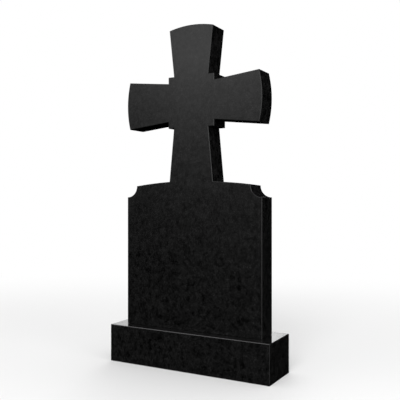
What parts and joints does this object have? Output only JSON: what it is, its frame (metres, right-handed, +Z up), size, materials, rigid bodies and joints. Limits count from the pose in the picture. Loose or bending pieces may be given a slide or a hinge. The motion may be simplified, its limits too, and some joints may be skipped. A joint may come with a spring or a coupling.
{
  "type": "cross headstone",
  "caption": "Upright headstone of polished black granite: a panel with coved shoulders and a flared cross in one slab, pinned on a low rectangular stand.",
  "frame": {"origin": "on the ground under the middle of the stand", "axes": "+Z up to the top of the cross, +X across the front to the viewer's right, -Y out of the polished front face"},
  "size_m": [0.7, 0.2, 1.351],
  "materials": {
    "polished_granite": "polished",
    "stone_adhesive": "matte",
    "pin_steel": "satin"
  },
  "bodies": {
    "root": {"stele": "polished_granite", "stand": "polished_granite", "bedding": "stone_adhesive", "pin_left": "pin_steel", "pin_right": "pin_steel"}
  },
  "joints": []
}
